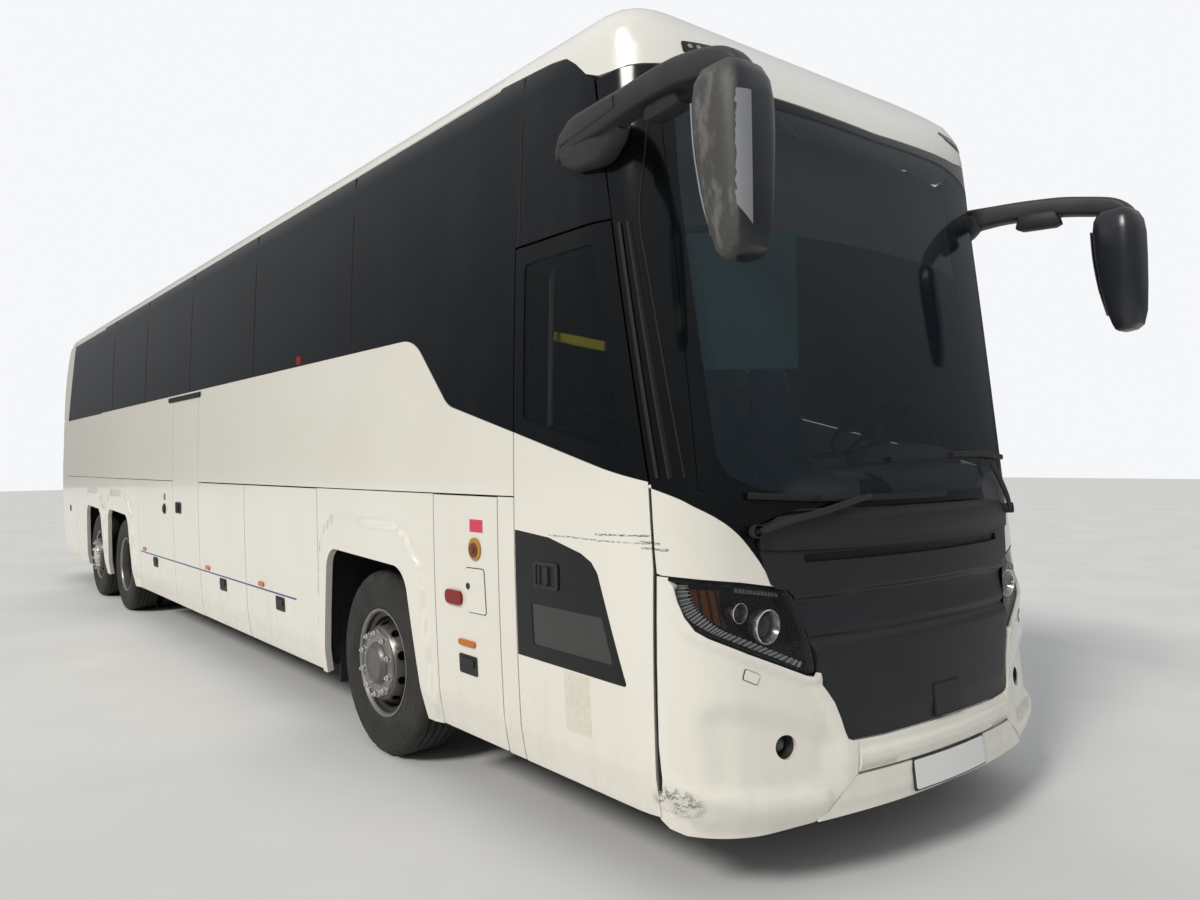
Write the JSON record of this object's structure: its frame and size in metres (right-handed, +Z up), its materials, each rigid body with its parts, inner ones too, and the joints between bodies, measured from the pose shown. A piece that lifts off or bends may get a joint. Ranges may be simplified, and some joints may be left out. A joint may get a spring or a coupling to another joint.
{
  "type": "three-axle touring coach bus",
  "caption": "Three-axle touring coach with bonded side glass, domed front, plug doors, luggage lids, twin drive wheels and arm mirrors.",
  "frame": {"origin": "on the ground, midway along the overall length and at mid width", "axes": "+X forward, +Y to the coach's left side, +Z up"},
  "size_m": [13.94, 3, 3.8],
  "materials": {
    "white_paint": "gloss",
    "door_paint": "gloss",
    "dark_mask": "satin",
    "black_gloss": "gloss",
    "black_plastic": "satin",
    "side_glass": "polished",
    "screen_glass": "polished",
    "lamp_lens": "polished",
    "mirror_housing": "matte",
    "tyre": "matte",
    "rim_steel": "satin",
    "frame_paint": "satin",
    "cast_metal": "cast",
    "floor_vinyl": "matte",
    "spring_rubber": "matte",
    "dash_plastic": "matte",
    "seat_fabric": "woven",
    "dark_steel": "brushed"
  },
  "bodies": {
    "coach": {"underframe": "frame_paint", "wheel_houses": "black_plastic", "mudflaps": "black_plastic", "engine": "cast_metal", "cabin_floor": "floor_vinyl", "air_springs": "spring_rubber", "front_axle": "frame_paint", "drive_axle": "frame_paint", "tag_axle": "frame_paint", "front_arch_panels": "white_paint", "rear_arch_panels": "white_paint", "rear_corners": "white_paint", "side_panels": "white_paint", "upper_walls": "white_paint", "roof": "white_paint", "front_dome": "white_paint", "rear_wall": "white_paint", "rear_bumper": "white_paint", "windows": "side_glass", "windscreen": "screen_glass", "front_mask": "dark_mask", "front_cheeks": "white_paint", "headlights": "lamp_lens", "front_pillars": "black_gloss", "front_bumper": "white_paint", "mirrors": "mirror_housing", "wipers": "black_plastic", "dashboard": "dash_plastic", "seats": "seat_fabric", "steering_wheel": "dash_plastic"},
    "knuckle_left": {"knuckle_left": "frame_paint"},
    "front_wheel_left": {"tyre_front_left": "tyre", "rim_front_left": "rim_steel"},
    "knuckle_right": {"knuckle_right": "frame_paint"},
    "front_wheel_right": {"tyre_front_right": "tyre", "rim_front_right": "rim_steel"},
    "drive_wheels_left": {"tyres_drive_left": "tyre", "rims_drive_left": "rim_steel"},
    "tag_wheel_left": {"tyre_tag_left": "tyre", "rim_tag_left": "rim_steel"},
    "drive_wheels_right": {"tyres_drive_right": "tyre", "rims_drive_right": "rim_steel"},
    "tag_wheel_right": {"tyre_tag_right": "tyre", "rim_tag_right": "rim_steel"},
    "luggage_lid_right_front": {"luggage_lid_right_front": "white_paint"},
    "luggage_lid_right_rear": {"luggage_lid_right_rear": "white_paint"},
    "luggage_lid_left_1": {"luggage_lid_left_1": "white_paint"},
    "luggage_lid_left_2": {"luggage_lid_left_2": "white_paint"},
    "luggage_lid_left_3": {"luggage_lid_left_3": "white_paint"},
    "service_flap": {"service_flap": "white_paint"},
    "engine_lid": {"engine_lid": "white_paint"},
    "front_door_arm": {"front_door_arm": "dark_steel"},
    "front_door": {"front_door": "door_paint", "front_door_glass": "side_glass"},
    "mid_door_arm": {"mid_door_arm": "dark_steel"},
    "mid_door": {"mid_door": "white_paint"}
  },
  "joints": [
    {"name": "steering_left", "type": "hinge", "parent": "coach", "child": "knuckle_left", "pos_m": [4, 0.88, 0.512], "axis": [0, 0, 1], "range_deg": [-40, 40]},
    {"name": "front_wheel_left_spin", "type": "hinge", "parent": "knuckle_left", "child": "front_wheel_left", "pos_m": [4, 1.09, 0.512], "axis": [0, 1, 0], "continuous": true},
    {"name": "steering_right", "type": "hinge", "parent": "coach", "child": "knuckle_right", "pos_m": [4, -0.88, 0.512], "axis": [0, 0, 1], "range_deg": [-40, 40]},
    {"name": "front_wheel_right_spin", "type": "hinge", "parent": "knuckle_right", "child": "front_wheel_right", "pos_m": [4, -1.09, 0.512], "axis": [0, 1, 0], "continuous": true},
    {"name": "drive_wheels_left_spin", "type": "hinge", "parent": "coach", "child": "drive_wheels_left", "pos_m": [-2.6, 0.925, 0.512], "axis": [0, 1, 0], "continuous": true},
    {"name": "tag_wheel_left_spin", "type": "hinge", "parent": "coach", "child": "tag_wheel_left", "pos_m": [-4.1, 1.09, 0.512], "axis": [0, 1, 0], "continuous": true},
    {"name": "drive_wheels_right_spin", "type": "hinge", "parent": "coach", "child": "drive_wheels_right", "pos_m": [-2.6, -0.925, 0.512], "axis": [0, 1, 0], "continuous": true},
    {"name": "tag_wheel_right_spin", "type": "hinge", "parent": "coach", "child": "tag_wheel_right", "pos_m": [-4.1, -1.09, 0.512], "axis": [0, 1, 0], "continuous": true},
    {"name": "luggage_lid_right_front_hinge", "type": "hinge", "parent": "coach", "child": "luggage_lid_right_front", "pos_m": [3.203, -1.271, 1.4707], "axis": [-1, 0, 0], "range_deg": [0, 85]},
    {"name": "luggage_lid_right_rear_hinge", "type": "hinge", "parent": "coach", "child": "luggage_lid_right_rear", "pos_m": [1.768, -1.271, 1.4707], "axis": [-1, 0, 0], "range_deg": [0, 85]},
    {"name": "luggage_lid_left_1_hinge", "type": "hinge", "parent": "coach", "child": "luggage_lid_left_1", "pos_m": [3.2, 1.271, 1.4707], "axis": [1, 0, 0], "range_deg": [0, 85]},
    {"name": "luggage_lid_left_2_hinge", "type": "hinge", "parent": "coach", "child": "luggage_lid_left_2", "pos_m": [3.2, 1.271, 1.4707], "axis": [1, 0, 0], "range_deg": [0, 85]},
    {"name": "luggage_lid_left_3_hinge", "type": "hinge", "parent": "coach", "child": "luggage_lid_left_3", "pos_m": [3.2, 1.271, 1.4707], "axis": [1, 0, 0], "range_deg": [0, 85]},
    {"name": "service_flap_hinge", "type": "hinge", "parent": "coach", "child": "service_flap", "pos_m": [5.016, -1.271, 1.4707], "axis": [-1, 0, 0], "range_deg": [0, 85]},
    {"name": "engine_lid_hinge", "type": "hinge", "parent": "coach", "child": "engine_lid", "pos_m": [-6.91179, 0, 1.8457], "axis": [0, 1, 0], "range_deg": [0, 75]},
    {"name": "front_door_swing", "type": "hinge", "parent": "coach", "child": "front_door_arm", "pos_m": [6.08, -1.12, 0.9], "axis": [0, 0, 1], "range_deg": [0, 110]},
    {"name": "front_door_turn", "type": "hinge", "parent": "front_door_arm", "child": "front_door", "pos_m": [5.52, -1.12, 0.9], "axis": [0, 0, -1], "range_deg": [0, 110]},
    {"name": "mid_door_swing", "type": "hinge", "parent": "coach", "child": "mid_door_arm", "pos_m": [-0.212, -1.12, 0.9], "axis": [0, 0, -1], "range_deg": [0, 110]},
    {"name": "mid_door_turn", "type": "hinge", "parent": "mid_door_arm", "child": "mid_door", "pos_m": [0.348, -1.12, 0.9], "axis": [0, 0, 1], "range_deg": [0, 110]}
  ],
  "couplings": [
    {"joint": "steering_right", "follows": "steering_left", "ratio": 1},
    {"joint": "front_door_turn", "follows": "front_door_swing", "ratio": 1},
    {"joint": "mid_door_turn", "follows": "mid_door_swing", "ratio": 1}
  ]
}
